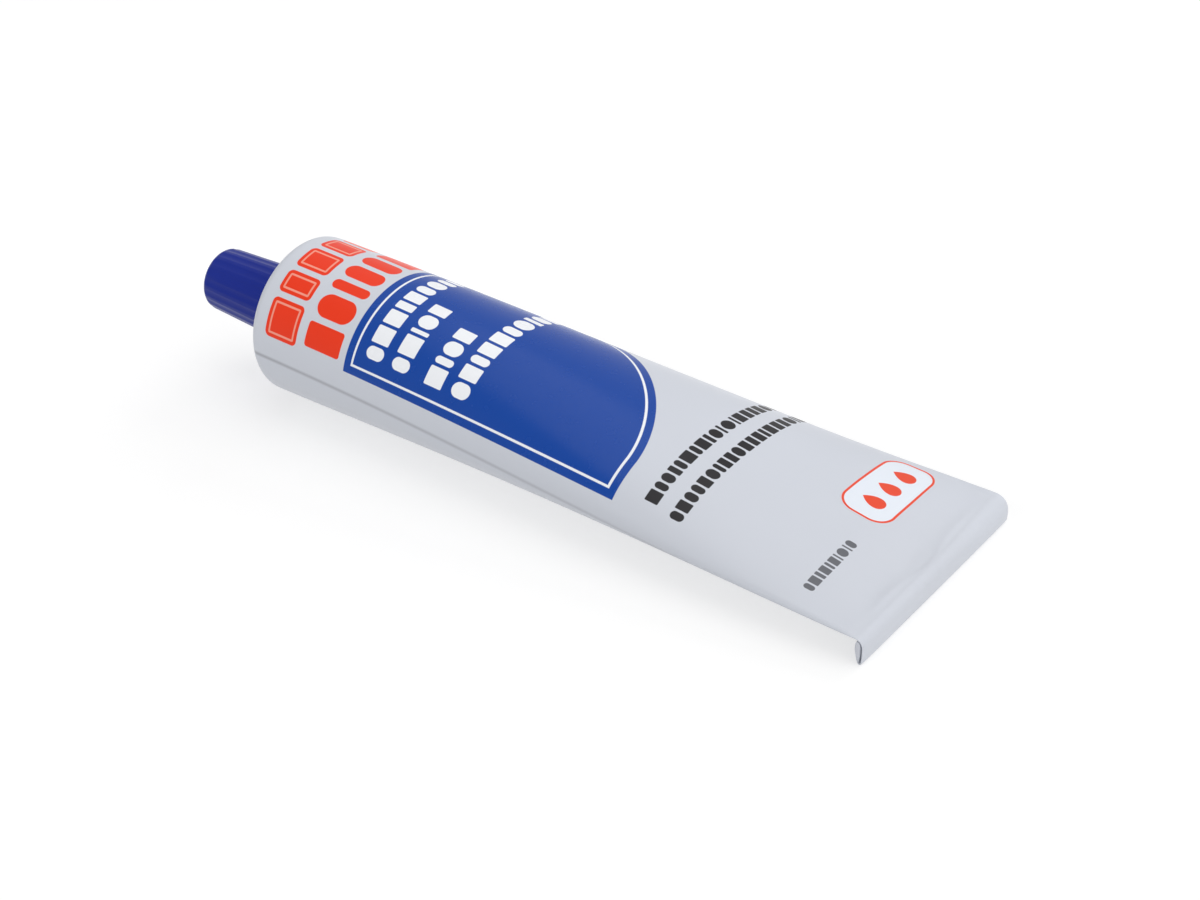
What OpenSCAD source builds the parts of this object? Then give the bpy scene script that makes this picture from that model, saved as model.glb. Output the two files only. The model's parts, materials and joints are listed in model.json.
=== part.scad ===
// Aluminium squeeze tube of silicone sealant, full and unopened, with its screw cap on.
// It lies on its belly and on the folded end of its tail. +X runs from the cap to the tail, +Z is up,
// and the origin is on the floor under the middle of its length.

/* [Tube wall] */
// Outside diameter at the round end
tube_d = 35; // [30:0.5:40]
// Length of the wall, from the shoulder to the fold across the tail
wall_length = 155.5; // [120:0.5:190]
// How full the upper side is: 1 is a straight wedge, and more is rounder
upper_fullness = 1.9; // [1.2:0.05:2.4]
// How full the lower side is
lower_fullness = 1.4; // [1.1:0.05:1.9]
// Height of the pressed tail above the tube's own axis
tail_rise = 1.3; // [0:0.1:3]
// Thickness of the tail, where two lacquered walls are pressed flat together
flat_t = 0.5; // [0.4:0.05:0.7]

/* [Folded tail] */
// Outer radius of the fold that turns the tail down
fold_r = 1.9; // [1.5:0.1:3]
// Length of the straight stretch below that fold
fold_drop = 3.4; // [2:0.1:6]
// Radius of the turn at the bottom edge, at the middle of the sheet
fold_turn_r = 0.5; // [0.45:0.05:0.8]
// Thickness of the rolled edge behind the fold, where it is thickest
roll_t = 1.2; // [0.8:0.1:1.8]
// Space between the rolled edge and the sheet in front of it and above it
roll_gap = 0.3; // [0.2:0.1:0.8]

/* [Shoulder and neck] */
// Rounding from the wall into the shoulder
shoulder_edge_r = 2.5; // [1:0.25:4]
// Slope of the shoulder, in degrees from straight across
shoulder_slope = 20; // [5:1:35]
// Outside diameter of the neck over its thread
neck_d = 11; // [9:0.5:13]
// Length of the neck above the shoulder
neck_length = 11; // [8:0.5:13]
// Wall of the neck round the sealing membrane
neck_wall = 1.2; // [0.8:0.1:2]
// Depth of the membrane below the neck's rim
membrane_depth = 0.8; // [0.4:0.1:2]

/* [Cap] */
// Outside diameter at the open end
cap_base_d = 16; // [14.5:0.5:19]
// Outside diameter at the closed end
cap_end_d = 14; // [13:0.5:16]
// Length of the cap
cap_length = 21; // [19:0.5:26]
// Rounding of the rim at the closed end
cap_rim_r = 1.2; // [0.5:0.1:1.8]
// Thickness of the floor between the neck's hole and the piercing point
cap_floor = 1.6; // [1:0.1:2.5]
// Wall round the piercing point
cap_end_wall = 2.4; // [2:0.1:3]
// Diameter of the piercing point at its foot
point_d = 4; // [3:0.5:6]
// How far the piercing point stays below the rim
point_sunk = 1; // [0.5:0.5:3]
// Number of grip flutes
flute_count = 18; // [12:1:24]
// Radius of a flute
flute_r = 2.6; // [1.6:0.1:4]
// Depth of a flute
flute_depth = 0.15; // [0.1:0.05:0.3]
// Width of the smooth band at the cap's open end
cap_band = 2; // [1:0.25:4]

/* [Clearances] */
// Space round the neck inside the cap
neck_clearance = 0.2; // [0.1:0.05:0.4]
// Space between the cap and the shoulder, and between the cap's floor and the neck's rim
cap_gap = 0.3; // [0.2:0.05:0.5]

/* [Hidden] */
$fn = 96;

// Corners of the sheet's outline, how many rings each stretch of it takes, and the overlap of joined solids
ring_corners = 72;
edge_rings = 6;
wall_rings = 26;
fold_rings = 7;
roll_rings = 9;
lap = 1;

tube_r = tube_d / 2;
neck_r = neck_d / 2;
cap_base_r = cap_base_d / 2;
cap_end_r = cap_end_d / 2;

// The shoulder leaves its rounding at shoulder_x and reaches any smaller radius on a straight slope
edge_turn = 90 - shoulder_slope;
shoulder_x = shoulder_edge_r * (1 - sin(edge_turn));
shoulder_r = tube_r - shoulder_edge_r * (1 - cos(edge_turn));
function shoulder_at(r) = shoulder_x - (shoulder_r - r) * tan(shoulder_slope);
neck_end = neck_length - shoulder_at(neck_r);

// The cap's underside follows the shoulder's slope, so the space between them is the same all the way in
function cap_under(r) = cap_gap - shoulder_at(r);
cap_base = cap_under(cap_base_r);
cap_end = cap_base + cap_length;
cap_floor_in = neck_end + cap_gap;
cap_floor_out = cap_floor_in + cap_floor;

// Girth of an ellipse, and the half width that keeps the sheet's girth when the tube is pressed to given half heights
function girth(a, b) = PI * (3 * (a + b) - sqrt((3 * a + b) * (a + 3 * b)));
function half_width(up, down, low = tube_r, high = tube_r * 1.6, steps = 24) =
    let (mid = (low + high) / 2)
    steps == 0 ? mid
    : (girth(mid, up) + girth(mid, down)) / 2 < girth(tube_r, tube_r)
        ? half_width(up, down, mid, high, steps - 1)
        : half_width(up, down, low, mid, steps - 1);

// Half height of the tube at share u of the wall's length, and how square its section has become there
function pressed(u, fullness) = flat_t / 2 + (tube_r - flat_t / 2) * (1 - pow(u, fullness));
function squareness(u) = 1 - 0.6 * pow(u, 12);

// A ring of the sheet: its middle, the direction it faces, its half sizes, and how square it is
function ring(x, z, heading, wide, up, down, square) = [
    for (j = [0 : ring_corners - 1])
    let (a = 360 * j / ring_corners,
         rise = (cos(a) >= 0 ? up : -down) * pow(abs(cos(a)), square))
    [x + rise * -sin(heading), wide * sin(a), z + rise * cos(heading)]
];

function shoulder_ring(r, x) = ring(x, 0, 0, r, r, r, 1);
function wall_ring(x) =
    let (u = x / wall_length,
         up = pressed(u, upper_fullness),
         down = pressed(u, lower_fullness))
    ring(x, tail_rise * pow(u, 1.5), 0, half_width(up, down), up, down, squareness(u));

// The folded tail, followed along the middle of the pressed sheet: each stretch turns by an angle over a length
fold_mid_r = fold_r - flat_t / 2;
fold_bends = [
    [86, fold_mid_r * 86 * PI / 180],
    [20, fold_drop],
    [164, fold_turn_r * 164 * PI / 180],
];
fold_steps = [for (bend = fold_bends) for (i = [1 : fold_rings]) bend / fold_rings];
function fold_path(i = 0, x = wall_length, z = tail_rise, heading = 0) =
    i == len(fold_steps) ? []
    : let (step = fold_steps[i],
           way = heading - step[0] / 2,
           x2 = x + step[1] * cos(way),
           z2 = z + step[1] * sin(way),
           turned = heading - step[0])
      concat([[x2, z2, turned, flat_t / 2]], fold_path(i + 1, x2, z2, turned));
fold_down = fold_path();

// Behind the fold the edge, which was rolled in first, stands up as a lens, a narrow space behind the sheet
sheet_places = [for (i = [0 : 2 * fold_rings - 1]) [fold_down[i][1], fold_down[i][0]]];
roll_foot = fold_down[len(fold_down) - 1];
roll_top = tail_rise - flat_t / 2 - 2 * roll_gap;
foot_gap = lookup(roll_foot[1], sheet_places) - flat_t - roll_foot[0];
roll = [
    for (i = [1 : roll_rings])
    let (u = i / roll_rings,
         z = roll_foot[1] + (roll_top - roll_foot[1]) * u,
         half = (flat_t + (roll_t - flat_t) * sin(180 * u)) / 2,
         gap = roll_gap + (foot_gap - roll_gap) * pow(1 - u, 3))
    [lookup(z, sheet_places) - flat_t / 2 - gap - half, z, roll_foot[2], half]
];
fold = concat(fold_down, roll);
flat_wide = half_width(flat_t / 2, flat_t / 2);

tube_rings = concat(
    [shoulder_ring(neck_r - neck_wall, shoulder_at(neck_r - neck_wall))],
    [
        for (i = [edge_rings : -1 : 1])
        let (a = edge_turn * i / edge_rings)
        shoulder_ring(tube_r - shoulder_edge_r * (1 - cos(a)), shoulder_edge_r * (1 - sin(a)))
    ],
    [
        for (i = [0 : wall_rings])
        wall_ring(shoulder_edge_r + (wall_length - shoulder_edge_r) * i / wall_rings)
    ],
    [for (p = fold) ring(p[0], p[1], p[2], flat_wide, p[3], p[3], squareness(1))]
);
tube_points = [for (r = tube_rings) for (p = r) p];

// How the tube lies: it tips about the bottom of the fold until its belly meets the floor
fold_foot = [for (p = fold) if (p[1] == min([for (f = fold) f[1]])) [p[0], p[1] - flat_t / 2]][0];
lie = max([
    for (p = tube_points)
    if (p[0] < wall_length / 2) atan2(fold_foot[1] - p[2], fold_foot[0] - p[0])
]);
floor_z = min([for (p = tube_points) p[2] * cos(lie) - p[0] * sin(lie)]);
far_x = max([for (p = tube_points) p[0] * cos(lie) + p[2] * sin(lie)]);
near_x = -(cap_end - cap_rim_r) * cos(lie) - (cap_end_r - cap_rim_r) * sin(lie) - cap_rim_r;

module laid() {
    translate([-(near_x + far_x) / 2, 0, -floor_z])
    rotate([0, lie, 0])
    children();
}

// Stands a revolved shape, drawn from the shoulder outwards, along the tube's own axis
module along_neck() {
    rotate([0, -90, 0])
    children();
}

// Skin through all the rings, closed by a flat face at each end
module skin(rings) {
    n = len(rings[0]);
    last = (len(rings) - 1) * n;
    polyhedron(
        points = [for (r = rings) for (p = r) p],
        faces = concat(
            [[for (j = [n - 1 : -1 : 0]) j]],
            [
                for (i = [0 : len(rings) - 2])
                for (j = [0 : n - 1])
                let (a = i * n + j, b = i * n + (j + 1) % n)
                each [[a, b + n, a + n], [a, b, b + n]]
            ],
            [[for (j = [0 : n - 1]) last + j]]
        ),
        convexity = 6
    );
}

module neck() {
    along_neck()
    difference() {
        translate([0, 0, -lap])
        cylinder(h = neck_end + lap, r = neck_r);
        translate([0, 0, neck_end - membrane_depth])
        cylinder(h = membrane_depth + lap, r = neck_r - neck_wall);
    }
}

module tube() {
    color([0.83, 0.84, 0.87])
    laid() {
        skin(tube_rings);
        neck();
    }
}

// Half section of the cap: sloped underside, tapered side, rounded rim, the hole for the neck and the hollow end
module cap_section() {
    rim_x = cap_end_r - cap_rim_r;
    rim_y = cap_end - cap_rim_r;
    hollow_r = cap_end_r - cap_end_wall;
    difference() {
        union() {
            polygon([
                [0, cap_under(0)], [cap_base_r, cap_base], [cap_end_r, rim_y],
                [rim_x, cap_end], [0, cap_end],
            ]);
            intersection() {
                translate([rim_x, rim_y])
                circle(r = cap_rim_r);
                translate([rim_x, rim_y])
                square(2 * cap_rim_r);
            }
        }
        translate([-lap, cap_base - lap])
        square([neck_r + neck_clearance + lap, cap_floor_in - cap_base + lap]);
        translate([-lap, cap_floor_out])
        square([hollow_r + lap, cap_end - cap_floor_out + lap]);
    }
}

module flute() {
    taper = atan((cap_base_r - cap_end_r) / cap_length);
    translate([cap_base_r + flute_r - flute_depth, 0, cap_base])
    rotate([0, -taper, 0])
    translate([0, 0, cap_band])
    cylinder(h = cap_length + lap, r = flute_r);
}

module cap() {
    color([0.15, 0.18, 0.55])
    laid()
    along_neck() {
        difference() {
            rotate_extrude()
            cap_section();
            for (i = [0 : flute_count - 1])
            rotate([0, 0, 360 * (i + 0.5) / flute_count])
            flute();
        }
        translate([0, 0, cap_floor_out - lap / 2])
        cylinder(h = cap_end - cap_floor_out - point_sunk + lap / 2, r1 = point_d / 2, r2 = 0.3);
    }
}

tube();
cap();
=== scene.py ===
import json
import math
import bpy
from mathutils import Matrix, Vector, noise


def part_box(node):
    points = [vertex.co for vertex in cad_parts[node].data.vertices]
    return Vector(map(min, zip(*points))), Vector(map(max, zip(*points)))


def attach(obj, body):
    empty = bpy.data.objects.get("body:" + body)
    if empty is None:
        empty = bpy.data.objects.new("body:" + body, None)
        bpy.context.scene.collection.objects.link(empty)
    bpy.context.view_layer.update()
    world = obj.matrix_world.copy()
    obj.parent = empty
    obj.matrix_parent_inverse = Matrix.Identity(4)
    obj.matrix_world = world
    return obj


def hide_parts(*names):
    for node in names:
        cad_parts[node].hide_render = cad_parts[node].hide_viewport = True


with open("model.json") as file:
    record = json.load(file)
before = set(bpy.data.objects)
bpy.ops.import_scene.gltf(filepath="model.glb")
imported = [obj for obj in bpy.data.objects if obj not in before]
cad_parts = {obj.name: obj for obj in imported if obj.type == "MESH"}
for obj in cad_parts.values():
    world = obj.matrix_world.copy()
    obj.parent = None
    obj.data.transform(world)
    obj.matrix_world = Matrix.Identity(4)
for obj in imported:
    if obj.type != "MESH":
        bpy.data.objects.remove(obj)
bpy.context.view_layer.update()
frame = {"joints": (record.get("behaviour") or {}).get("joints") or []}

# Wall of the tube: thin aluminium, drawn as one round cup with its shoulder, then lacquered and printed while
# round. It is filled from the open end, pressed flat there and folded over. The sheet's girth stays the same,
# so the wall gets wider as it gets flatter. Its axes are those of the round end: x to the tail, z up, in mm.
tube_r = 17.5
wall_length = 155.5
sheet_t = 0.5
upper_fullness, lower_fullness = 1.9, 1.4
tail_rise, rise_power = 1.3, 1.5
shoulder_edge_r, shoulder_steps = 2.5, 7
shoulder_slope = math.radians(20)
neck_bore_r = 4.3
sheet_edge, roll_edge, edge_onset = 0.4, 0.04, 26
dent_rounding, least_rise = 0.7, 0.45
columns = 160
wall_steps, tail_steps, tail_stretch, tail_crowding = 50, 28, 22, 1.6
half_girth = math.pi * tube_r


def girth(a, b):
    """Length round an ellipse with these half axes, by the usual close formula."""
    return math.pi * (3 * (a + b) - math.sqrt((3 * a + b) * (a + 3 * b)))


def half_width(up, down):
    """Half width that keeps the sheet's girth when the tube is pressed to these half heights."""
    past_flat, halvings = 1.6, 26
    low, high = tube_r, past_flat * tube_r
    for _ in range(halvings):
        middle = (low + high) / 2
        if (girth(middle, up) + girth(middle, down)) / 2 < girth(tube_r, tube_r):
            low = middle
        else:
            high = middle
    return low


def pressed(share, fullness):
    """Half height of the upper or lower side at this share of the wall's length."""
    return sheet_t / 2 + (tube_r - sheet_t / 2) * (1 - share**fullness)


def wall_ring(x):
    """The ring of the pressed wall at this place."""
    share = x / wall_length
    up, down = pressed(share, upper_fullness), pressed(share, lower_fullness)
    square = 1 - (1 - sheet_edge) * share**edge_onset
    return x, x, tail_rise * share**rise_power, 0, half_width(up, down), up, down, square


# A crease winds across the upper wall near the fold. The wall falls slowly to its bottom and rises steeply.
crease_x, crease_swing, crease_wave, crease_shift = 154.45, 0.65, 4, 1
crease_run, crease_rise = 7.0, 2.6
crease_depth, crease_level, crease_unevenness, crease_patch, crease_seed = 0.5, 0.8, 0.7, 7, 1.5
crease_half, crease_fade = 25, 8


def crease(x, side):
    """Depth of the crease at this place."""
    past_bottom = x - (crease_x + crease_swing * math.cos((side + crease_shift) / crease_wave) - crease_rise)
    if past_bottom < 0:
        share = math.exp(-((past_bottom / crease_run) ** 2))
    else:
        share = max(0, 1 - (past_bottom / crease_rise) ** 2)
    uneven = crease_level + crease_unevenness * noise.noise(Vector((side / crease_patch, crease_seed, 0)))
    return crease_depth * uneven * min(1, max(0, (crease_half - abs(side)) / crease_fade)) * share


# The flatter half of the upper wall is slack, with soft hollows. Each kind has a length, a width and a seed.
slack_depth, slack_level = 0.28, 0.4
slack_start, slack_growth, slack_fade = 70, 60, 5
large_hollows, small_hollows, small_share = (26, 19, 4.2), (11, 9, 7.7), 0.5


def hollows(x, side, long, wide, seed):
    """Smooth ups and downs of this length and width, round 0."""
    return noise.noise(Vector((x / long, side / wide, seed)))


def slack(x, side):
    """Depth of the slack wall's hollows at this place."""
    depth = slack_depth * min(1, max(0, (x - slack_start) / slack_growth), (wall_length - x) / slack_fade)
    hollow = hollows(x, side, *large_hollows) + small_share * hollows(x, side, *small_hollows)
    return depth * (hollow + slack_level)


def dent(x, side):
    """How far the upper wall has sunk. It also levels out over a short run, to meet the fold with no kink."""
    level_run = 1.8
    to_fold = min(1, (wall_length - x) / level_run)
    levelled = upper_fullness * tube_r / wall_length * level_run * to_fold * (1 - to_fold) ** 2
    return levelled + max(0, crease(x, side) + slack(x, side))


def edge_bead(a, side, wide, share):
    """The sheet can't be pressed quite flat where it turns at its side edges, so it stays thicker there."""
    height, inset, spread, foot = 0.3, 0.75, 0.55, 0.15
    onset, end = 12, 60
    across = math.exp(-(((wide - abs(side) - inset) / spread) ** 2)) * min(1, abs(math.cos(a)) / foot)
    return height * share**onset * (1 - share**end) * across


# A ring is (place on the flat sheet, x, z, heading, half width, half heights up and down, squareness).
# The first rings close the shoulder, go out along its slope and round its edge, and the next follow the wall.
edge_turn = math.pi / 2 - shoulder_slope
shoulder_r = tube_r - shoulder_edge_r * (1 - math.cos(edge_turn))
shoulder_x = shoulder_edge_r * (1 - math.sin(edge_turn))
sheet_start = shoulder_edge_r * (1 - edge_turn) - (shoulder_r - neck_bore_r) / math.cos(shoulder_slope)
rings = [(sheet_start, shoulder_x - (shoulder_r - neck_bore_r) * math.tan(shoulder_slope), 0, 0, 0, 0, 0, 1)]
for i in range(shoulder_steps):
    r = neck_bore_r + (shoulder_r - neck_bore_r) * i / shoulder_steps
    down_slope = (shoulder_r - r) / math.cos(shoulder_slope)
    at = shoulder_x - (shoulder_r - r) * math.tan(shoulder_slope)
    rings.append((shoulder_edge_r * (1 - edge_turn) - down_slope, at, 0, 0, r, r, r, 1))
for i in range(shoulder_steps, 0, -1):
    a = edge_turn * i / shoulder_steps
    r = tube_r - shoulder_edge_r * (1 - math.cos(a))
    rings.append((shoulder_edge_r * (1 - a), shoulder_edge_r * (1 - math.sin(a)), 0, 0, r, r, r, 1))
tail_start = wall_length - tail_stretch
for i in range(wall_steps):
    rings.append(wall_ring(shoulder_edge_r + (tail_start - shoulder_edge_r) * i / wall_steps))
for i in range(tail_steps + 1):
    rings.append(wall_ring(wall_length - tail_stretch * (1 - i / tail_steps) ** tail_crowding))

# The fold is followed along the middle of the pressed sheet: down, round its foot, and up again behind, where
# the edge, which was rolled in first, stands as a narrow lens. The first bend opens out towards the far
# corner, and takes that from the straight drop below it.
fold_mid_r, fold_drop, fold_turn_r = 1.65, 3.36, 0.36
first_turn, drop_turn, foot_turn = math.radians(86), math.radians(8), math.radians(176)
first_steps, drop_steps, foot_steps, roll_steps = 9, 5, 9, 12
corner_opening, opening_start, opening_run, drop_taken = 1.2, 2, 25, 0.935
roll_t, roll_gap, roll_skew, roll_roundness = 1.25, 0.12, 1.7, 0.6
flat_wide = half_width(sheet_t / 2, sheet_t / 2)


def bend_r(side):
    """Radius of the first bend at this distance from the middle."""
    share = min(1, max(0, (side - opening_start) / opening_run))
    return fold_mid_r + corner_opening * share * share * (3 - 2 * share)


def fold_line(side):
    """Steps of the fold this far from the middle: (place on the sheet, x, z, heading, half thickness)."""
    opened = bend_r(side) - fold_mid_r
    place, x, z, heading = wall_length, wall_length - opened * math.sin(first_turn), tail_rise, 0
    line = []
    for turn, length, steps in (
        (first_turn, bend_r(side) * first_turn, first_steps),
        (drop_turn, fold_drop - drop_taken * opened, drop_steps),
        (foot_turn, fold_turn_r * foot_turn, foot_steps),
    ):
        for _ in range(steps):
            way = heading - turn / steps / 2
            x += length / steps * math.cos(way)
            z += length / steps * math.sin(way)
            place += length / steps
            heading -= turn / steps
            line.append((place, x, z, heading, sheet_t / 2))
    front = [(step[2], step[1]) for step in line[: first_steps + drop_steps]]

    def front_x(level):
        """Where the middle of the sheet that goes down is at this level."""
        for (z1, x1), (z2, x2) in zip(front, front[1:]):
            if z2 <= level or (z2, x2) == front[-1]:
                return x1 + (x2 - x1) * (level - z1) / (z2 - z1)

    foot_z = z
    foot_gap = front_x(z) - sheet_t - x
    roll_top = tail_rise - sheet_t / 2 - 2 * roll_gap
    for i in range(1, roll_steps + 1):
        share = i / roll_steps
        z = foot_z + (roll_top - foot_z) * share
        belly = abs(math.sin(math.pi * share**roll_skew)) ** roll_roundness
        half = (sheet_t + (roll_t - sheet_t) * belly) / 2
        gap = roll_gap + (foot_gap - roll_gap) * (1 - share) ** 3
        x = front_x(z) - sheet_t / 2 - gap - half
        line.append((place + z - foot_z, x, z, heading, half))
    return line + [line[-1][:4] + (0,)]


fold_start = len(rings)
for step, (place, x, z, heading, half) in enumerate(fold_line(0)):
    square = sheet_edge if step < first_steps + drop_steps + foot_steps else roll_edge
    rings.append((place, x, z, heading, flat_wide, half, half, square))
sheet_end = rings[-1][0]
angles = [math.tau * (column / columns - 0.5) for column in range(columns + 1)]
fold_lines = [fold_line(flat_wide * math.sin(a)) for a in angles]


def laid_place(row, column):
    """Where this row and column of the sheet come to lie."""
    place, x, z, heading, wide, up, down, square = rings[row]
    a = angles[column]
    side = wide * math.sin(a)
    on_top = math.cos(a) > 0
    # Rounded, because a low power of the last digit of zero would lift the sheet's side edges off its middle
    rise = (up if on_top else down) * round(abs(math.cos(a)), 9) ** square
    if row >= fold_start:
        x, z, heading = fold_lines[column][row - fold_start][1:4]
    elif place > shoulder_edge_r:
        x -= (bend_r(side) - fold_mid_r) * max(0, (place - tail_start) / tail_stretch) ** 2
        if on_top:
            rise = max(rise - dent(place, side) * math.cos(a) ** dent_rounding, least_rise * rise)
        rise += edge_bead(a, side, wide, place / wall_length)
    if not on_top:
        rise = -rise
    return Vector((x - rise * math.sin(heading), side, z + rise * math.cos(heading)))


# A flat sheet of faces, as it was printed, is laid round the rings, and its map keeps the printed places
spots = {}
for row, ring in enumerate(rings):
    points = [laid_place(row, column) for column in range(columns + 1)]
    arc = [0]
    for point, next_point in zip(points, points[1:]):
        arc.append(arc[-1] + (next_point - point).length)
    middle = arc[columns // 2]
    for column, point in enumerate(points):
        half = max(arc[-1] - middle if arc[column] > middle else middle, 1e-9)
        share = (arc[column] - middle) / half if arc[-1] > 1e-6 else 2 * column / columns - 1
        spots[row, column] = point, share, (ring[0] - sheet_start) / (sheet_end - sheet_start)
bpy.ops.object.select_all(action="DESELECT")
bpy.ops.mesh.primitive_grid_add(x_subdivisions=columns, y_subdivisions=len(rings) - 1, size=2)
wall = bpy.context.object
wall.name = "printed_wall"
print_map = wall.data.uv_layers.active
print_map.name = "printed_sheet"
spot_of = {}
for corner in wall.data.vertices:
    column = round((corner.co.x + 1) / 2 * columns)
    row = round((corner.co.y + 1) / 2 * (len(rings) - 1))
    spot_of[corner.index] = spots[row, column]
    corner.co = spots[row, column][0]
for loop in wall.data.loops:
    point, share, along = spot_of[loop.vertex_index]
    print_map.data[loop.index].uv = (0.5 + share / 2, along)
bpy.ops.object.mode_set(mode="EDIT")
bpy.ops.mesh.select_all(action="SELECT")
bpy.ops.mesh.remove_doubles(threshold=0.0005)
bpy.ops.mesh.normals_make_consistent(inside=False)
bpy.ops.object.mode_set(mode="OBJECT")
smoothing = wall.modifiers.new("smoothing", "SUBSURF")
smoothing.levels = smoothing.render_levels = 1
bpy.ops.object.modifier_apply(modifier=smoothing.name)
bpy.ops.object.shade_smooth_by_angle(angle=math.radians(60))

# The tube tips about its fold until its belly meets the floor, as the joint's axis tells
neck_way = Vector(frame["joints"][0]["axis"])
mm = 0.001
tip = Matrix.Rotation(math.atan2(neck_way.z, -neck_way.x), 4, "Y")
tipped = [tip @ spot[0] for spot in spots.values()]
tube_low, tube_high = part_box("tube")
far_x = tube_high.x - mm * max(point.x for point in tipped)
floor_z = tube_low.z - mm * min(point.z for point in tipped)
laid = Matrix.Translation((far_x, 0, floor_z)) @ tip @ Matrix.Scale(mm, 4)
wall.data.transform(laid)


def calculator(tree):
    """Gives a function that adds one Math node to the tree and returns its result."""

    def calc(operation, *values, clamp=False):
        step = tree.nodes.new("ShaderNodeMath")
        step.operation = operation
        step.use_clamp = clamp
        for socket, value in zip(step.inputs, values):
            if isinstance(value, bpy.types.NodeSocket):
                tree.links.new(value, socket)
            else:
                socket.default_value = value
        return step.outputs[0]

    return calc


def new_effect(name, inputs, output):
    """An empty node group of numbers, with its input sockets by name and its output's place."""
    group = bpy.data.node_groups.new(name, "ShaderNodeTree")
    for label in inputs:
        group.interface.new_socket(label, in_out="INPUT", socket_type="NodeSocketFloat")
    group.interface.new_socket(output, in_out="OUTPUT", socket_type="NodeSocketFloat")
    taken = group.nodes.new("NodeGroupInput").outputs
    return group, {label: taken[label] for label in inputs}, group.nodes.new("NodeGroupOutput").inputs[output]


def effect(tree, group, **values):
    """Places a group in a tree with its own values, and returns its result. Names use _ for a space."""
    placed = tree.nodes.new("ShaderNodeGroup")
    placed.node_tree = group
    for label, value in values.items():
        socket = placed.inputs[label.replace("_", " ")]
        if isinstance(value, bpy.types.NodeSocket):
            tree.links.new(value, socket)
        else:
            socket.default_value = value
    return placed.outputs[0]


# Depth inside a block with round corners
block_sockets = ["Across", "Along", "Half Across", "Half Along", "Corner"]
block, given, result = new_effect("block", block_sockets, "Depth")
calc = calculator(block)
across = calc("SUBTRACT", calc("ABSOLUTE", given["Across"]), given["Half Across"])
along = calc("SUBTRACT", calc("ABSOLUTE", given["Along"]), given["Half Along"])
over_across, over_along = calc("ADD", across, given["Corner"]), calc("ADD", along, given["Corner"])
outer_across, outer_along = calc("MAXIMUM", over_across, 0), calc("MAXIMUM", over_along, 0)
squares = calc("MULTIPLY", outer_across, outer_across), calc("MULTIPLY", outer_along, outer_along)
inner = calc("MINIMUM", calc("MAXIMUM", over_across, over_along), 0)
past = calc("ADD", calc("SQRT", calc("ADD", *squares)), inner)
block.links.new(calc("SUBTRACT", given["Corner"], past), result)

# Depth inside a row of such blocks, of different widths with the same gap between them. A block that the end
# of the row would cut is left out, and a share of the blocks has full round ends.
row_sockets = [
    "Arc", "Length", "Row Place", "Row Height", "Start", "End", "Pitch", "Variation", "Gap", "Corner",
    "Round Share", "Seed",
]
block_row, given, result = new_effect("block_row", row_sockets, "Depth")
calc = calculator(block_row)
shape_seed, end_slack, end_steepness = 3, 0.01, 100
steps_in = calc("DIVIDE", calc("SUBTRACT", given["Arc"], given["Start"]), given["Pitch"])
cell = calc("FLOOR", steps_in)


def chance(number):
    """A random value from 0 to 1, always the same one for the same number."""
    dice = block_row.nodes.new("ShaderNodeTexWhiteNoise")
    dice.noise_dimensions = "1D"
    block_row.links.new(number, dice.inputs["W"])
    return dice.outputs["Value"]


def joint_after(step):
    """Where the gap before this block lies, in steps: past a whole number, but not at the row's start."""
    number = calc("ADD", cell, step)
    moved = calc("MULTIPLY", chance(calc("ADD", number, given["Seed"])), given["Variation"])
    return calc("MULTIPLY_ADD", moved, calc("MINIMUM", calc("ABSOLUTE", number), 1), number)


before, here, after = joint_after(-1), joint_after(0), joint_after(1)
is_before = calc("LESS_THAN", steps_in, here)
left = calc("MULTIPLY_ADD", is_before, calc("SUBTRACT", before, here), here)
right = calc("MULTIPLY_ADD", is_before, calc("SUBTRACT", here, after), after)
middle = calc("MULTIPLY", calc("ADD", left, right), 0.5)
whole_width = calc("MULTIPLY", calc("SUBTRACT", right, left), given["Pitch"])
half_across = calc("MULTIPLY", calc("SUBTRACT", whole_width, given["Gap"]), 0.5)
half_along = calc("MULTIPLY", given["Row Height"], 0.5)
fullest = calc("MINIMUM", half_across, half_along)
soft = calc("MINIMUM", fullest, given["Corner"])
own_number = calc("SUBTRACT", calc("SUBTRACT", cell, is_before), calc("MULTIPLY", given["Seed"], shape_seed))
is_round = calc("LESS_THAN", chance(own_number), given["Round Share"])
depth = effect(
    block_row,
    block,
    Across=calc("MULTIPLY", calc("SUBTRACT", steps_in, middle), given["Pitch"]),
    Along=calc("SUBTRACT", given["Length"], given["Row Place"]),
    Half_Across=half_across,
    Half_Along=half_along,
    Corner=calc("MULTIPLY_ADD", is_round, calc("SUBTRACT", fullest, soft), soft),
)
row_length = calc("SUBTRACT", given["End"], given["Start"])
room_left = calc("SUBTRACT", row_length, calc("MULTIPLY", right, given["Pitch"]))
before_end = calc("MULTIPLY", calc("ADD", room_left, end_slack), end_steepness)
inside = calc("MINIMUM", calc("SUBTRACT", given["Arc"], given["Start"]), before_end)
block_row.links.new(calc("MINIMUM", depth, inside), result)

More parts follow.
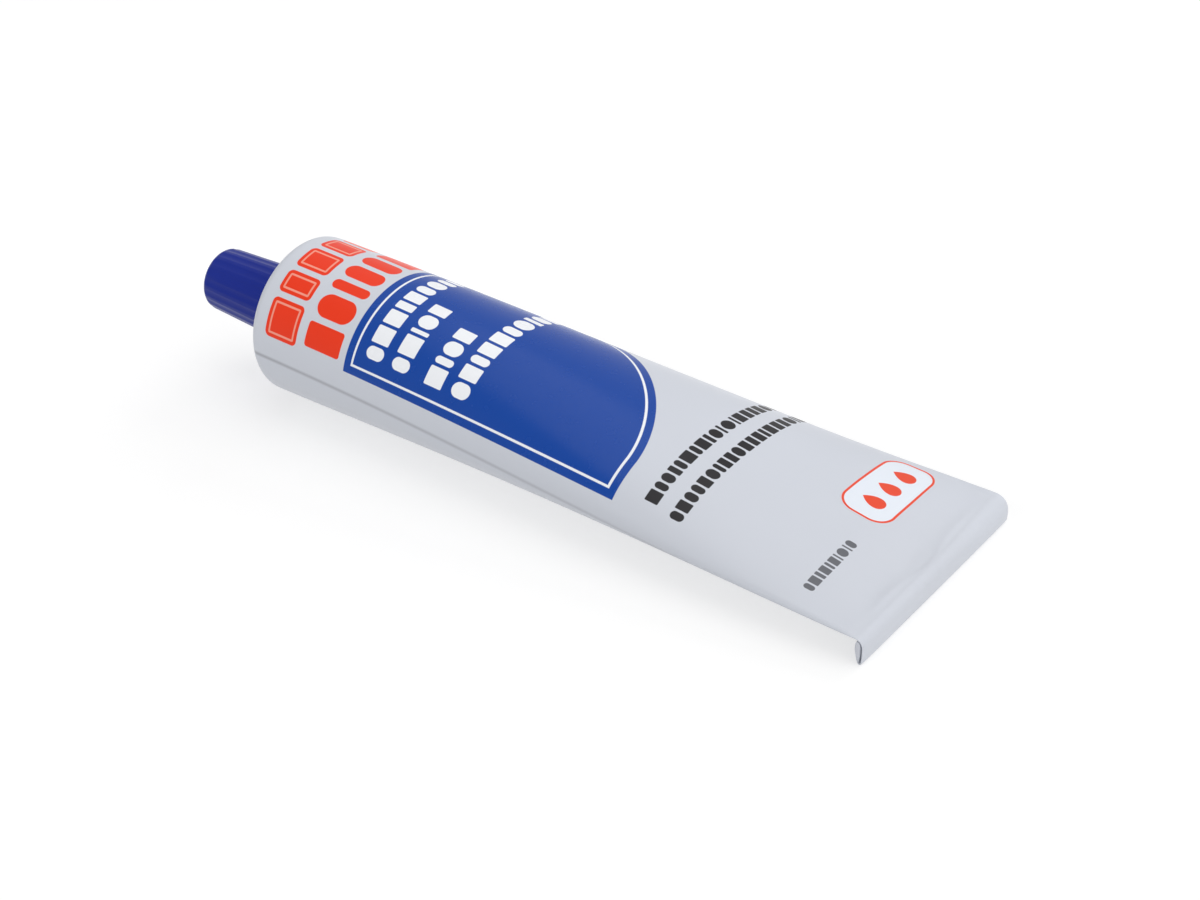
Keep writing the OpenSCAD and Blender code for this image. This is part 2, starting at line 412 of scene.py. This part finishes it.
# Depth inside the panel: straight at the left and below, and one full curve from its tip round to its top
panel, given, result = new_effect("panel", ["Arc", "Length", "Inset"], "Depth")
calc = calculator(panel)
panel_left, panel_low = 27.5, -24.0
curve_x, curve_arc, curve_long, curve_high, curve_power = 58.0, -15.0, 41.0, 36.0, 1.7
from_left = calc("SUBTRACT", calc("SUBTRACT", given["Length"], panel_left), given["Inset"])
from_low = calc("SUBTRACT", calc("SUBTRACT", given["Arc"], panel_low), given["Inset"])
reach_long = calc("SUBTRACT", curve_long, given["Inset"])
reach_high = calc("SUBTRACT", curve_high, given["Inset"])
share_long = calc("DIVIDE", calc("MAXIMUM", calc("SUBTRACT", given["Length"], curve_x), 0), reach_long)
share_high = calc("DIVIDE", calc("MAXIMUM", calc("SUBTRACT", given["Arc"], curve_arc), 0), reach_high)
powers = calc("ADD", calc("POWER", share_long, curve_power), calc("POWER", share_high, curve_power))
from_curve = calc("MULTIPLY", calc("SUBTRACT", 1, calc("POWER", powers, 1 / curve_power)), reach_high)
panel.links.new(calc("MINIMUM", calc("MINIMUM", from_left, from_low), from_curve), result)

# Depth inside a drop that points along the sheet
drop, given, result = new_effect("drop", ["Across", "Along", "Radius"], "Depth")
calc = calculator(drop)
drop_taper = 0.17
below = calc("MINIMUM", given["Along"], 0)
squares = calc("MULTIPLY", given["Across"], given["Across"]), calc("MULTIPLY", below, below)
ball = calc("SQRT", calc("ADD", *squares))
above = calc("MAXIMUM", given["Along"], 0)
taper = calc("MULTIPLY", calc("MULTIPLY", above, above), drop_taper)
drop.links.new(calc("SUBTRACT", calc("SUBTRACT", given["Radius"], ball), taper), result)

# Fine unevenness of a coat, a metal or a moulding, round 0.5. Its size is in mm, and it is stretched along x.
grain, given, result = new_effect("grain", ["Size", "Stretch", "Roughness"], "Level")
coordinates = grain.nodes.new("ShaderNodeTexCoord")
stretched = grain.nodes.new("ShaderNodeMapping")
along_only = grain.nodes.new("ShaderNodeCombineXYZ")
calc = calculator(grain)
per_metre = calc("DIVIDE", 1 / mm, given["Size"])
grain.links.new(calc("DIVIDE", per_metre, given["Stretch"]), along_only.inputs["X"])
grain.links.new(per_metre, along_only.inputs["Y"])
grain.links.new(per_metre, along_only.inputs["Z"])
grain.links.new(coordinates.outputs["Object"], stretched.inputs["Vector"])
grain.links.new(along_only.outputs["Vector"], stretched.inputs["Scale"])
speckle = grain.nodes.new("ShaderNodeTexNoise")
speckle.inputs["Scale"].default_value = 1
speckle.inputs["Detail"].default_value = 3
grain.links.new(given["Roughness"], speckle.inputs["Roughness"])
grain.links.new(stretched.outputs["Vector"], speckle.inputs["Vector"])
grain.links.new(speckle.outputs["Fac"], result)


def new_material(name):
    """A material, with its tree, its shader and its calculator."""
    material = bpy.data.materials.new(name)
    material.use_nodes = True
    tree = material.node_tree
    return material, tree, tree.nodes["Principled BSDF"], calculator(tree)


def pigment(red, green, blue):
    """A colour as a painter mixes it, 0 to 255, as the shader needs it."""
    shares = red / 255, green / 255, blue / 255
    return tuple(((s + 0.055) / 1.055) ** 2.4 if s > 10 / 255 else s / 12.92 for s in shares) + (1,)


def laid_over(tree, cover, under, over):
    """The colour of one coat over another where cover is 1. The lower one may be a colour or a socket."""
    layer = tree.nodes.new("ShaderNodeMix")
    layer.data_type = "RGBA"
    tree.links.new(cover, layer.inputs["Factor"])
    if isinstance(under, bpy.types.NodeSocket):
        tree.links.new(under, layer.inputs["A"])
    else:
        layer.inputs["A"].default_value = pigment(*under)
    layer.inputs["B"].default_value = pigment(*over)
    return layer.outputs["Result"]


def fine_relief(tree, height, strength, depth):
    """Lets the light catch on an unevenness of this depth in mm."""
    relief = tree.nodes.new("ShaderNodeBump")
    relief.inputs["Strength"].default_value = strength
    relief.inputs["Distance"].default_value = depth * mm
    tree.links.new(height, relief.inputs["Height"])
    tree.links.new(relief.outputs["Normal"], tree.nodes["Principled BSDF"].inputs["Normal"])


def coat(piece, material):
    """Gives the piece this material all over."""
    piece.data.materials.clear()
    piece.data.materials.append(material)


def ink(calc, depth, softness=0.06):
    """Turns a depth inside a shape, in mm, into cover: 1 inside and 0 outside, with a soft edge."""
    return calc("MULTIPLY_ADD", depth, 0.5 / softness, 0.5, clamp=True)


# The coat and its print are laid one over the other, from the base coat up. Arc is the way round the sheet
# from its top line, and length the way along it from the shoulder's edge to the rolled one, in mm.
base_grey, cloud_grey, side_line_grey = (211, 215, 224), (203, 205, 212), (144, 145, 152)
panel_blue, print_white, print_black = (3, 67, 159), (246, 248, 252), (28, 26, 30)
tile_red, tile_pink, code_grey = (240, 58, 24), (250, 160, 140), (104, 106, 112)
label_white, label_red, bare_grey = (234, 240, 249), (236, 74, 42), (206, 208, 212)
lacquer, tree, shader, calc = new_material("printed_lacquer")
sheet_places = tree.nodes.new("ShaderNodeUVMap")
sheet_places.uv_map = "printed_sheet"
split = tree.nodes.new("ShaderNodeSeparateXYZ")
tree.links.new(sheet_places.outputs["UV"], split.inputs["Vector"])
arc = calc("MULTIPLY_ADD", split.outputs["X"], 2 * half_girth, -half_girth)
length = calc("MULTIPLY_ADD", split.outputs["Y"], sheet_end - sheet_start, sheet_start)

# Uneven base coat, and a darker grey line along the side, from the shoulder's edge on, which fades towards
# the tail
cloud_floor, cloud_cover = 0.35, 0.5
cloudy = effect(tree, grain, Size=22, Stretch=2.5, Roughness=0.5)
clouds = calc("MULTIPLY", calc("SUBTRACT", cloudy, cloud_floor, clamp=True), cloud_cover)
colour = laid_over(tree, clouds, base_grey, cloud_grey)
side_line_arc, side_line_half = -29.0, 0.7
side_line_cover, side_line_fading, side_line_onset = 0.7, -0.0035, 0.5
from_line = calc("ABSOLUTE", calc("SUBTRACT", arc, side_line_arc))
side_line = calc("SUBTRACT", 1, calc("DIVIDE", from_line, side_line_half), clamp=True)
fading = calc("MULTIPLY_ADD", length, side_line_fading, side_line_cover, clamp=True)
beginning = calc("MULTIPLY", length, side_line_onset, clamp=True)
colour = laid_over(tree, calc("MULTIPLY", calc("MULTIPLY", side_line, fading), beginning), colour, side_line_grey)

# The panel, with a thin white line inside its edge and rows of plain white blocks
line_inset, line_half = 2.0, 0.25
panel_cover = ink(calc, effect(tree, panel, Arc=arc, Length=length, Inset=0.0))
colour = laid_over(tree, panel_cover, colour, panel_blue)
from_line = calc("ABSOLUTE", effect(tree, panel, Arc=arc, Length=length, Inset=line_inset))
white_cover = ink(calc, calc("SUBTRACT", line_half, from_line))
for place, end, seed in ((34.5, 18.0, 3), (41.5, -1.0, 17), (50.5, -1.0, 31), (57.3, 18.0, 43)):
    row = effect(
        tree, block_row, Arc=arc, Length=length, Row_Place=place, Row_Height=4.5, Start=-19.6, End=end,
        Pitch=3.5, Variation=0.62, Gap=0.75, Corner=0.3, Round_Share=0.5, Seed=seed,
    )
    white_cover = calc("MAXIMUM", white_cover, ink(calc, row))
colour = laid_over(tree, white_cover, colour, print_white)

# A row of inlined tiles at the shoulder, and a row of plain ones beside it
inline_inset, inline_half = 1.05, 0.22
tiles = effect(
    tree, block_row, Arc=arc, Length=length, Row_Place=9.2, Row_Height=8.8, Start=-24.2, End=34.0,
    Pitch=7.6, Variation=0.35, Gap=1.3, Corner=1.2, Round_Share=0.0, Seed=5,
)
tile_inline = calc("SUBTRACT", inline_half, calc("ABSOLUTE", calc("SUBTRACT", tiles, inline_inset)))
colour = laid_over(tree, ink(calc, tiles), colour, tile_red)
colour = laid_over(tree, ink(calc, tile_inline), colour, tile_pink)
plain_tiles = effect(
    tree, block_row, Arc=arc, Length=length, Row_Place=20.8, Row_Height=9.8, Start=-23.0, End=24.0,
    Pitch=5.6, Variation=0.6, Gap=1.4, Corner=0.7, Round_Share=0.5, Seed=23,
)
colour = laid_over(tree, ink(calc, plain_tiles), colour, tile_red)

# Two rows of small black blocks past the panel, and a grey one near the fold
for place, start, seed in ((106.4, -21.3, 7), (112.6, -22.3, 19)):
    row = effect(
        tree, block_row, Arc=arc, Length=length, Row_Place=place, Row_Height=3.0, Start=start, End=27.0,
        Pitch=2.3, Variation=0.6, Gap=0.5, Corner=0.25, Round_Share=0.4, Seed=seed,
    )
    colour = laid_over(tree, ink(calc, row), colour, print_black)
row = effect(
    tree, block_row, Arc=arc, Length=length, Row_Place=142.2, Row_Height=2.3, Start=-22.3, End=-6.0,
    Pitch=1.6, Variation=0.6, Gap=0.42, Corner=0.2, Round_Share=0.4, Seed=11,
)
colour = laid_over(tree, ink(calc, row), colour, code_grey)

# A plain label field near the tail, with a thin red edge and three drops of the sealant in it
label_arc, label_place, label_edge_half = 12.7, 138.9, 0.25
drop_r, drop_pitch, drop_shift = 1.75, 5.9, 0.8
label = effect(
    tree, block, Across=calc("SUBTRACT", arc, label_arc), Along=calc("SUBTRACT", length, label_place),
    Half_Across=11.4, Half_Along=5.6, Corner=4.0,
)
colour = laid_over(tree, ink(calc, label), colour, label_white)
from_edge = calc("ABSOLUTE", calc("SUBTRACT", label, label_edge_half))
colour = laid_over(tree, ink(calc, calc("SUBTRACT", label_edge_half, from_edge)), colour, label_red)
for shift in (-drop_pitch, 0.0, drop_pitch):
    across = calc("SUBTRACT", arc, label_arc + shift)
    along = calc("SUBTRACT", label_place + drop_shift, length)
    depth = effect(tree, drop, Across=across, Along=along, Radius=drop_r)
    colour = laid_over(tree, ink(calc, depth), colour, label_red)

# Bare metal on the shoulder, where the lacquer's spray thins out, and a satin gloss with a slight orange peel
bare_growth, bare_onset = -0.22, -0.75
peel_dullness, least_dullness, panel_dullness = 0.1, 0.27, -0.06
peel_share, line_share = 0.6, 0.4
bare = calc("MULTIPLY_ADD", length, bare_growth, bare_onset, clamp=True)
colour = laid_over(tree, bare, colour, bare_grey)
tree.links.new(colour, shader.inputs["Base Color"])
tree.links.new(bare, shader.inputs["Metallic"])
peel = effect(tree, grain, Size=2.4, Stretch=1.0, Roughness=0.4)
draw_lines = effect(tree, grain, Size=0.8, Stretch=40.0, Roughness=0.6)
satin = calc("MULTIPLY_ADD", peel, peel_dullness, least_dullness)
tree.links.new(calc("MULTIPLY_ADD", panel_cover, panel_dullness, satin), shader.inputs["Roughness"])
shader.inputs["Specular IOR Level"].default_value = 0.25
skin_height = calc("ADD", calc("MULTIPLY", peel, peel_share), calc("MULTIPLY", draw_lines, line_share))
fine_relief(tree, skin_height, strength=0.05, depth=0.03)
coat(wall, lacquer)
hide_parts("tube")
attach(wall, "tube_body")

# Neck: drawn with the wall in the same aluminium and left bare, with a rolled thread and a thin sealing
# membrane across its mouth, which the point on the cap's other end breaks. It stands on the shoulder, in line
# with the tube. Heights run up the neck from the wall's x = 0.
neck_foot, neck_end, neck_corners = 2.6, 14.618, 96
collar_r, collar_foot, collar_top = 5.4, 3.2, 4.6
thread_core_r, thread_crest_r, thread_pitch = 4.95, 5.45, 1.5
thread_foot_half, thread_crest_half, thread_sunk = 0.48, 0.17, 0.08
thread_start, neck_turns, steps_a_turn = 6.0, 4.7, 48
rim_outer_r, rim_inner_r, rim_edge = 4.6, 4.42, 0.08
membrane_depth, membrane_mid_r, membrane_dish = 0.8, 2.2, 0.06
up_neck = laid @ Matrix.Rotation(-math.pi / 2, 4, "Y")


def turned(name, corners, profile):
    """A closed turned piece: one ring, drawn out through points (radius, height) and shut at its poles."""
    r, height = profile[0]
    bpy.ops.object.select_all(action="DESELECT")
    bpy.ops.mesh.primitive_circle_add(vertices=corners, radius=r, location=(0, 0, height))
    piece = bpy.context.object
    piece.name = name
    bpy.ops.object.transform_apply(location=True)
    bpy.ops.object.mode_set(mode="EDIT")
    bpy.ops.mesh.select_all(action="SELECT")
    for next_r, next_height in profile[1:]:
        bpy.ops.mesh.extrude_edges_move(TRANSFORM_OT_translate={"value": (0, 0, next_height - height)})
        bpy.ops.transform.resize(value=(next_r / r, next_r / r, 1), center_override=(0, 0, next_height))
        r, height = next_r, next_height
    bpy.ops.mesh.extrude_edges_move()
    bpy.ops.mesh.merge(type="CENTER")
    bpy.ops.mesh.select_non_manifold()
    bpy.ops.mesh.extrude_edges_move()
    bpy.ops.mesh.merge(type="CENTER")
    bpy.ops.mesh.select_all(action="SELECT")
    bpy.ops.mesh.normals_make_consistent(inside=False)
    bpy.ops.object.mode_set(mode="OBJECT")
    return piece


def thread(name, foot_r, crest_r, start, turns):
    """A ridge of the thread, wound from its section by a screw and run out at both ends."""
    bpy.ops.object.select_all(action="DESELECT")
    bpy.ops.mesh.primitive_plane_add(size=1)
    ridge = bpy.context.object
    ridge.name = name
    foot = [(foot_r, -thread_foot_half), (foot_r, thread_foot_half)]
    crest = [(crest_r, -thread_crest_half), (crest_r, thread_crest_half)]
    for index, (r, height) in zip(ridge.data.polygons[0].vertices, (foot[0], *crest, foot[1])):
        ridge.data.vertices[index].co = (r, 0, start + height)
    bpy.ops.object.mode_set(mode="EDIT")
    bpy.ops.mesh.select_all(action="SELECT")
    bpy.ops.mesh.delete(type="ONLY_FACE")
    bpy.ops.object.mode_set(mode="OBJECT")
    winding = ridge.modifiers.new("winding", "SCREW")
    winding.axis = "Z"
    winding.angle = math.tau * turns
    winding.screw_offset = thread_pitch * turns
    winding.steps = winding.render_steps = round(steps_a_turn * turns)
    winding.use_merge_vertices = False
    bpy.ops.object.modifier_apply(modifier=winding.name)
    run_out, run_past, least_height = 0.25, 0.12, 0.15
    for corner in ridge.data.vertices:
        r = math.hypot(corner.co.x, corner.co.y)
        from_end = min(corner.co.z - start, start + thread_pitch * turns - corner.co.z) / thread_pitch
        if abs(r - crest_r) < 0.01:
            ease = min(1, max(0, (from_end + run_past) / run_out))
            lower = (foot_r + (crest_r - foot_r) * (least_height + (1 - least_height) * ease)) / r
            corner.co.x *= lower
            corner.co.y *= lower
    bpy.ops.object.mode_set(mode="EDIT")
    bpy.ops.mesh.select_all(action="SELECT")
    bpy.ops.mesh.fill_holes(sides=4)
    bpy.ops.mesh.select_all(action="SELECT")
    bpy.ops.mesh.normals_make_consistent(inside=False)
    bpy.ops.object.mode_set(mode="OBJECT")
    return ridge


def united(piece, ridge):
    """Makes one closed skin of a turned piece and its thread."""
    merge = piece.modifiers.new("union", "BOOLEAN")
    merge.operation = "UNION"
    merge.solver = "EXACT"
    merge.object = ridge
    bpy.ops.object.select_all(action="DESELECT")
    bpy.context.view_layer.objects.active = piece
    piece.select_set(True)
    bpy.ops.object.modifier_apply(modifier=merge.name)
    bpy.data.objects.remove(ridge)


# The profile runs from the foot out and over the collar, up the core, over the rim and in to the membrane
membrane = neck_end - membrane_depth
profile = [(neck_bore_r, neck_foot), (5.1, neck_foot), (collar_r, collar_foot), (collar_r, collar_top)]
profile += [(5.3, 4.75), (thread_core_r, 5.0), (thread_core_r, 9.0), (thread_core_r, 13.7), (4.8, 14.3)]
profile += [(4.7, neck_end - rim_edge), (rim_outer_r, neck_end), (rim_inner_r, neck_end)]
profile += [(4.33, neck_end - 0.06), (neck_bore_r, neck_end - 2 * rim_edge), (neck_bore_r, membrane + 0.1)]
profile += [(neck_bore_r - 0.1, membrane), (membrane_mid_r, membrane + membrane_dish)]
neck = turned("threaded_neck", neck_corners, profile)
united(neck, thread("neck_ridge", thread_core_r - thread_sunk, thread_crest_r, thread_start, neck_turns))
bpy.ops.object.shade_smooth_by_angle(angle=math.radians(35))
neck.data.transform(up_neck)

dull_grey, bright_grey = (214, 216, 220), (226, 227, 229)
least_dullness, more_dullness = 0.2, 0.2
aluminium, tree, shader, calc = new_material("bare_aluminium")
shader.inputs["Metallic"].default_value = 1
turning = effect(tree, grain, Size=0.5, Stretch=0.2, Roughness=0.6)
dullness = effect(tree, grain, Size=3.0, Stretch=1.0, Roughness=0.5)
tree.links.new(laid_over(tree, dullness, dull_grey, bright_grey), shader.inputs["Base Color"])
tree.links.new(calc("MULTIPLY_ADD", dullness, more_dullness, least_dullness), shader.inputs["Roughness"])
fine_relief(tree, turning, strength=0.4, depth=0.02)
coat(neck, aluminium)
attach(neck, "tube_body")

# Cap: dark blue plastic, injection-moulded in one piece and unscrewed from its mould. It has shallow grip
# flutes, a thread inside, a smooth band at its open end, an underside that is parallel to the shoulder, and a
# point sunk in its closed end that pierces the membrane.
cap_base_r, cap_end_r, cap_length = 8.0, 7.0, 21.0
cap_base, cap_end = 3.008, 24.008
cap_rim_r, cap_band, cap_bore_r = 1.2, 2.0, 5.7
bore_floor, recess_floor, recess_r = 14.918, 16.518, 4.6
point_foot_r, point_waist_r, point_tip_r, point_sunk = 2.0, 1.15, 0.16, 1.0
flute_count, flute_corners, flute_r, flute_depth = 18, 16, 2.6, 0.15
bore_edge, recess_edge, band_edge = 0.3, 0.4, 0.05
side_steps, rim_steps = 5, 7
cap_thread_r, cap_turns = 5.25, 4.4
under_slope = math.tan(shoulder_slope)
taper = (cap_base_r - cap_end_r) / cap_length


def side_r(height):
    """Radius of the cap's tapered side at this height."""
    return cap_base_r - taper * (height - cap_base)


# The profile runs from the floor of the bore to the open end, up the side, over the rim, down into the recess
# and up the piercing point
rim_height, band_top = cap_end - cap_rim_r, cap_base + cap_band
under_inner = cap_base + (cap_base_r - cap_bore_r) * under_slope
profile = [(3.0, bore_floor), (cap_bore_r - bore_edge, bore_floor), (cap_bore_r, bore_floor - bore_edge)]
profile += [(cap_bore_r, under_inner + 0.5), (cap_bore_r + bore_edge, under_inner + 0.1)]
under_outer = cap_base + bore_edge * under_slope
profile += [(cap_base_r - bore_edge, under_outer + 0.03), (cap_base_r - 0.08, cap_base + 0.1)]
profile += [(side_r(h), h) for h in (cap_base + bore_edge, band_top - band_edge, band_top + band_edge)]
for i in range(1, side_steps + 1):
    h = band_top + (rim_height - cap_base - cap_band) * i / side_steps
    profile.append((side_r(h), h))
for i in range(1, rim_steps + 1):
    a = math.pi / 2 * i / rim_steps
    profile.append((cap_end_r - cap_rim_r * (1 - math.cos(a)), rim_height + cap_rim_r * math.sin(a)))
profile += [(recess_r + 0.2, cap_end), (recess_r + 0.06, cap_end - 0.06), (recess_r, cap_end - 0.2)]
profile += [(recess_r, recess_floor + recess_edge), (recess_r - 0.12, recess_floor + 0.12)]
profile += [(recess_r - recess_edge, recess_floor), (point_foot_r + recess_edge, recess_floor)]
point_end = cap_end - point_sunk
profile += [(point_foot_r + 0.05, recess_floor + 0.25), (point_waist_r, (recess_floor + point_end) / 2)]
profile += [(0.34, point_end - 0.15), (point_tip_r, point_end)]
cap = turned("fluted_cap", flute_count * flute_corners, profile)

# Each flute is a shallow round hollow that is cut into the side above the band
for corner in cap.data.vertices:
    r, height = math.hypot(corner.co.x, corner.co.y), corner.co.z
    if height > band_top and r > cap_end_r - cap_rim_r:
        turn = (math.atan2(corner.co.y, corner.co.x) / math.tau * flute_count) % 1 - 0.5
        aside = r * turn * math.tau / flute_count
        if abs(aside) < flute_r:
            flute_middle = side_r(height) + flute_r - flute_depth
            cut = min(1, (flute_middle - math.sqrt(flute_r**2 - aside**2)) / r)
            corner.co.x *= cut
            corner.co.y *= cut
cap_thread_start = thread_start + thread_pitch / 2
united(cap, thread("cap_ridge", cap_bore_r + thread_sunk, cap_thread_r, cap_thread_start, cap_turns))
bpy.ops.object.shade_smooth_by_angle(angle=math.radians(32))
cap.data.transform(up_neck)

deep_blue, milky_blue = (20, 38, 134), (26, 46, 143)
least_dullness, more_dullness = 0.26, 0.12
plastic, tree, shader, calc = new_material("blue_plastic")
flow = effect(tree, grain, Size=7.0, Stretch=3.0, Roughness=0.5)
skin = effect(tree, grain, Size=0.35, Stretch=1.0, Roughness=0.5)
tree.links.new(laid_over(tree, flow, deep_blue, milky_blue), shader.inputs["Base Color"])
tree.links.new(calc("MULTIPLY_ADD", skin, more_dullness, least_dullness), shader.inputs["Roughness"])
shader.inputs["Specular IOR Level"].default_value = 0.15
fine_relief(tree, skin, strength=0.1, depth=0.02)
coat(cap, plastic)
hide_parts("cap")
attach(cap, "cap_body")

# Table: a plain pale sheet that the tube lies on, lit a little from below. The camera sees it and the room as
# white, with the tube's shadow.
table_size = 6
from_below, to_white = 0.2, 0.58
bpy.ops.object.select_all(action="DESELECT")
bpy.ops.mesh.primitive_plane_add(size=table_size)
table = bpy.context.object
table.name = "table"
paper, tree, shader, calc = new_material("pale_paper")
shader.inputs["Base Color"].default_value = (0.5, 0.5, 0.5, 1)
shader.inputs["Roughness"].default_value = 1
shader.inputs["Specular IOR Level"].default_value = 0
shader.inputs["Emission Color"].default_value = (1, 1, 1, 1)
seen = tree.nodes.new("ShaderNodeLightPath")
seen_directly = calc("MAXIMUM", seen.outputs["Is Camera Ray"], seen.outputs["Is Glossy Ray"])
seen_directly = calc("MAXIMUM", seen_directly, seen.outputs["Is Transmission Ray"])
glow = calc("MULTIPLY_ADD", seen_directly, to_white - from_below, from_below)
tree.links.new(glow, shader.inputs["Emission Strength"])
coat(table, paper)

# Light: a white tent that is lit from the tail's side, with wide soft lamps above, at the camera's left and
# behind the tube. The camera sees the tent as white, and the gloss mirrors it a little darker.
tent_level, tail_level, mirrored_level = 0.2, 1.32, 0.8
room = bpy.data.worlds.new("tent")
bpy.context.scene.world = room
room.use_nodes = True
tree = room.node_tree
seen = tree.nodes.new("ShaderNodeLightPath")
calc = calculator(tree)
way = tree.nodes.new("ShaderNodeSeparateXYZ")
tree.links.new(tree.nodes.new("ShaderNodeTexCoord").outputs["Generated"], way.inputs["Vector"])
lit = calc("MULTIPLY_ADD", calc("MAXIMUM", way.outputs["X"], 0), tail_level, tent_level)
in_view = seen.outputs["Is Camera Ray"]
mirrored = calc("MAXIMUM", seen.outputs["Is Glossy Ray"], seen.outputs["Is Transmission Ray"])
unseen = calc("SUBTRACT", calc("SUBTRACT", 1, in_view), mirrored)
level = calc("MULTIPLY_ADD", lit, unseen, calc("MULTIPLY_ADD", mirrored, mirrored_level, in_view))
tree.links.new(level, tree.nodes["Background"].inputs["Strength"])
tree.nodes["Background"].inputs["Color"].default_value = (1, 1, 1, 1)


def soft_lamp(name, place, size, power):
    """A square lamp that points at the middle of the table."""
    lamp = bpy.data.lights.new(name, "AREA")
    lamp.shape = "SQUARE"
    lamp.size = size
    lamp.energy = power
    holder = bpy.data.objects.new(name, lamp)
    bpy.context.scene.collection.objects.link(holder)
    holder.location = place
    holder.rotation_euler = (-Vector(place)).to_track_quat("-Z", "Y").to_euler()
    return holder


soft_lamp("lamp_above", place=(0.0, 0.15, 0.9), size=0.9, power=2.36)
soft_lamp("lamp_left", place=(-0.3, -0.9, 0.5), size=0.6, power=2.96).visible_glossy = False
soft_lamp("lamp_behind", place=(0.1, 0.9, 0.55), size=0.6, power=2.55).visible_glossy = False

# Camera: at the photograph's place, 462 mm from the tube, with its lens and a slight roll. The place and the
# point that it looks at are in metres, and the lens and the film's width in mm.
camera_place = Vector((0.256538, -0.308124, 0.241569))
camera_aim = Vector((0.01072, 0.00294, 0.00473))
camera_roll = math.radians(-4.115)
camera_lens, film_width, nearest_seen = 67.992, 36, 0.01
ahead = (camera_aim - camera_place).normalized()
right = ahead.cross(Vector((0, 0, 1))).normalized()
above = right.cross(ahead)
rolled_right = right * math.cos(camera_roll) + above * math.sin(camera_roll)
rolled_above = above * math.cos(camera_roll) - right * math.sin(camera_roll)
camera = bpy.data.objects.new("camera", bpy.data.cameras.new("camera"))
bpy.context.scene.collection.objects.link(camera)
camera.data.sensor_width = film_width
camera.data.lens = camera_lens
camera.data.clip_start = nearest_seen
turn = Matrix((rolled_right, rolled_above, -ahead)).transposed().to_4x4()
camera.matrix_world = Matrix.Translation(camera_place) @ turn
bpy.context.scene.camera = camera
bpy.context.scene.view_settings.view_transform = "Standard"
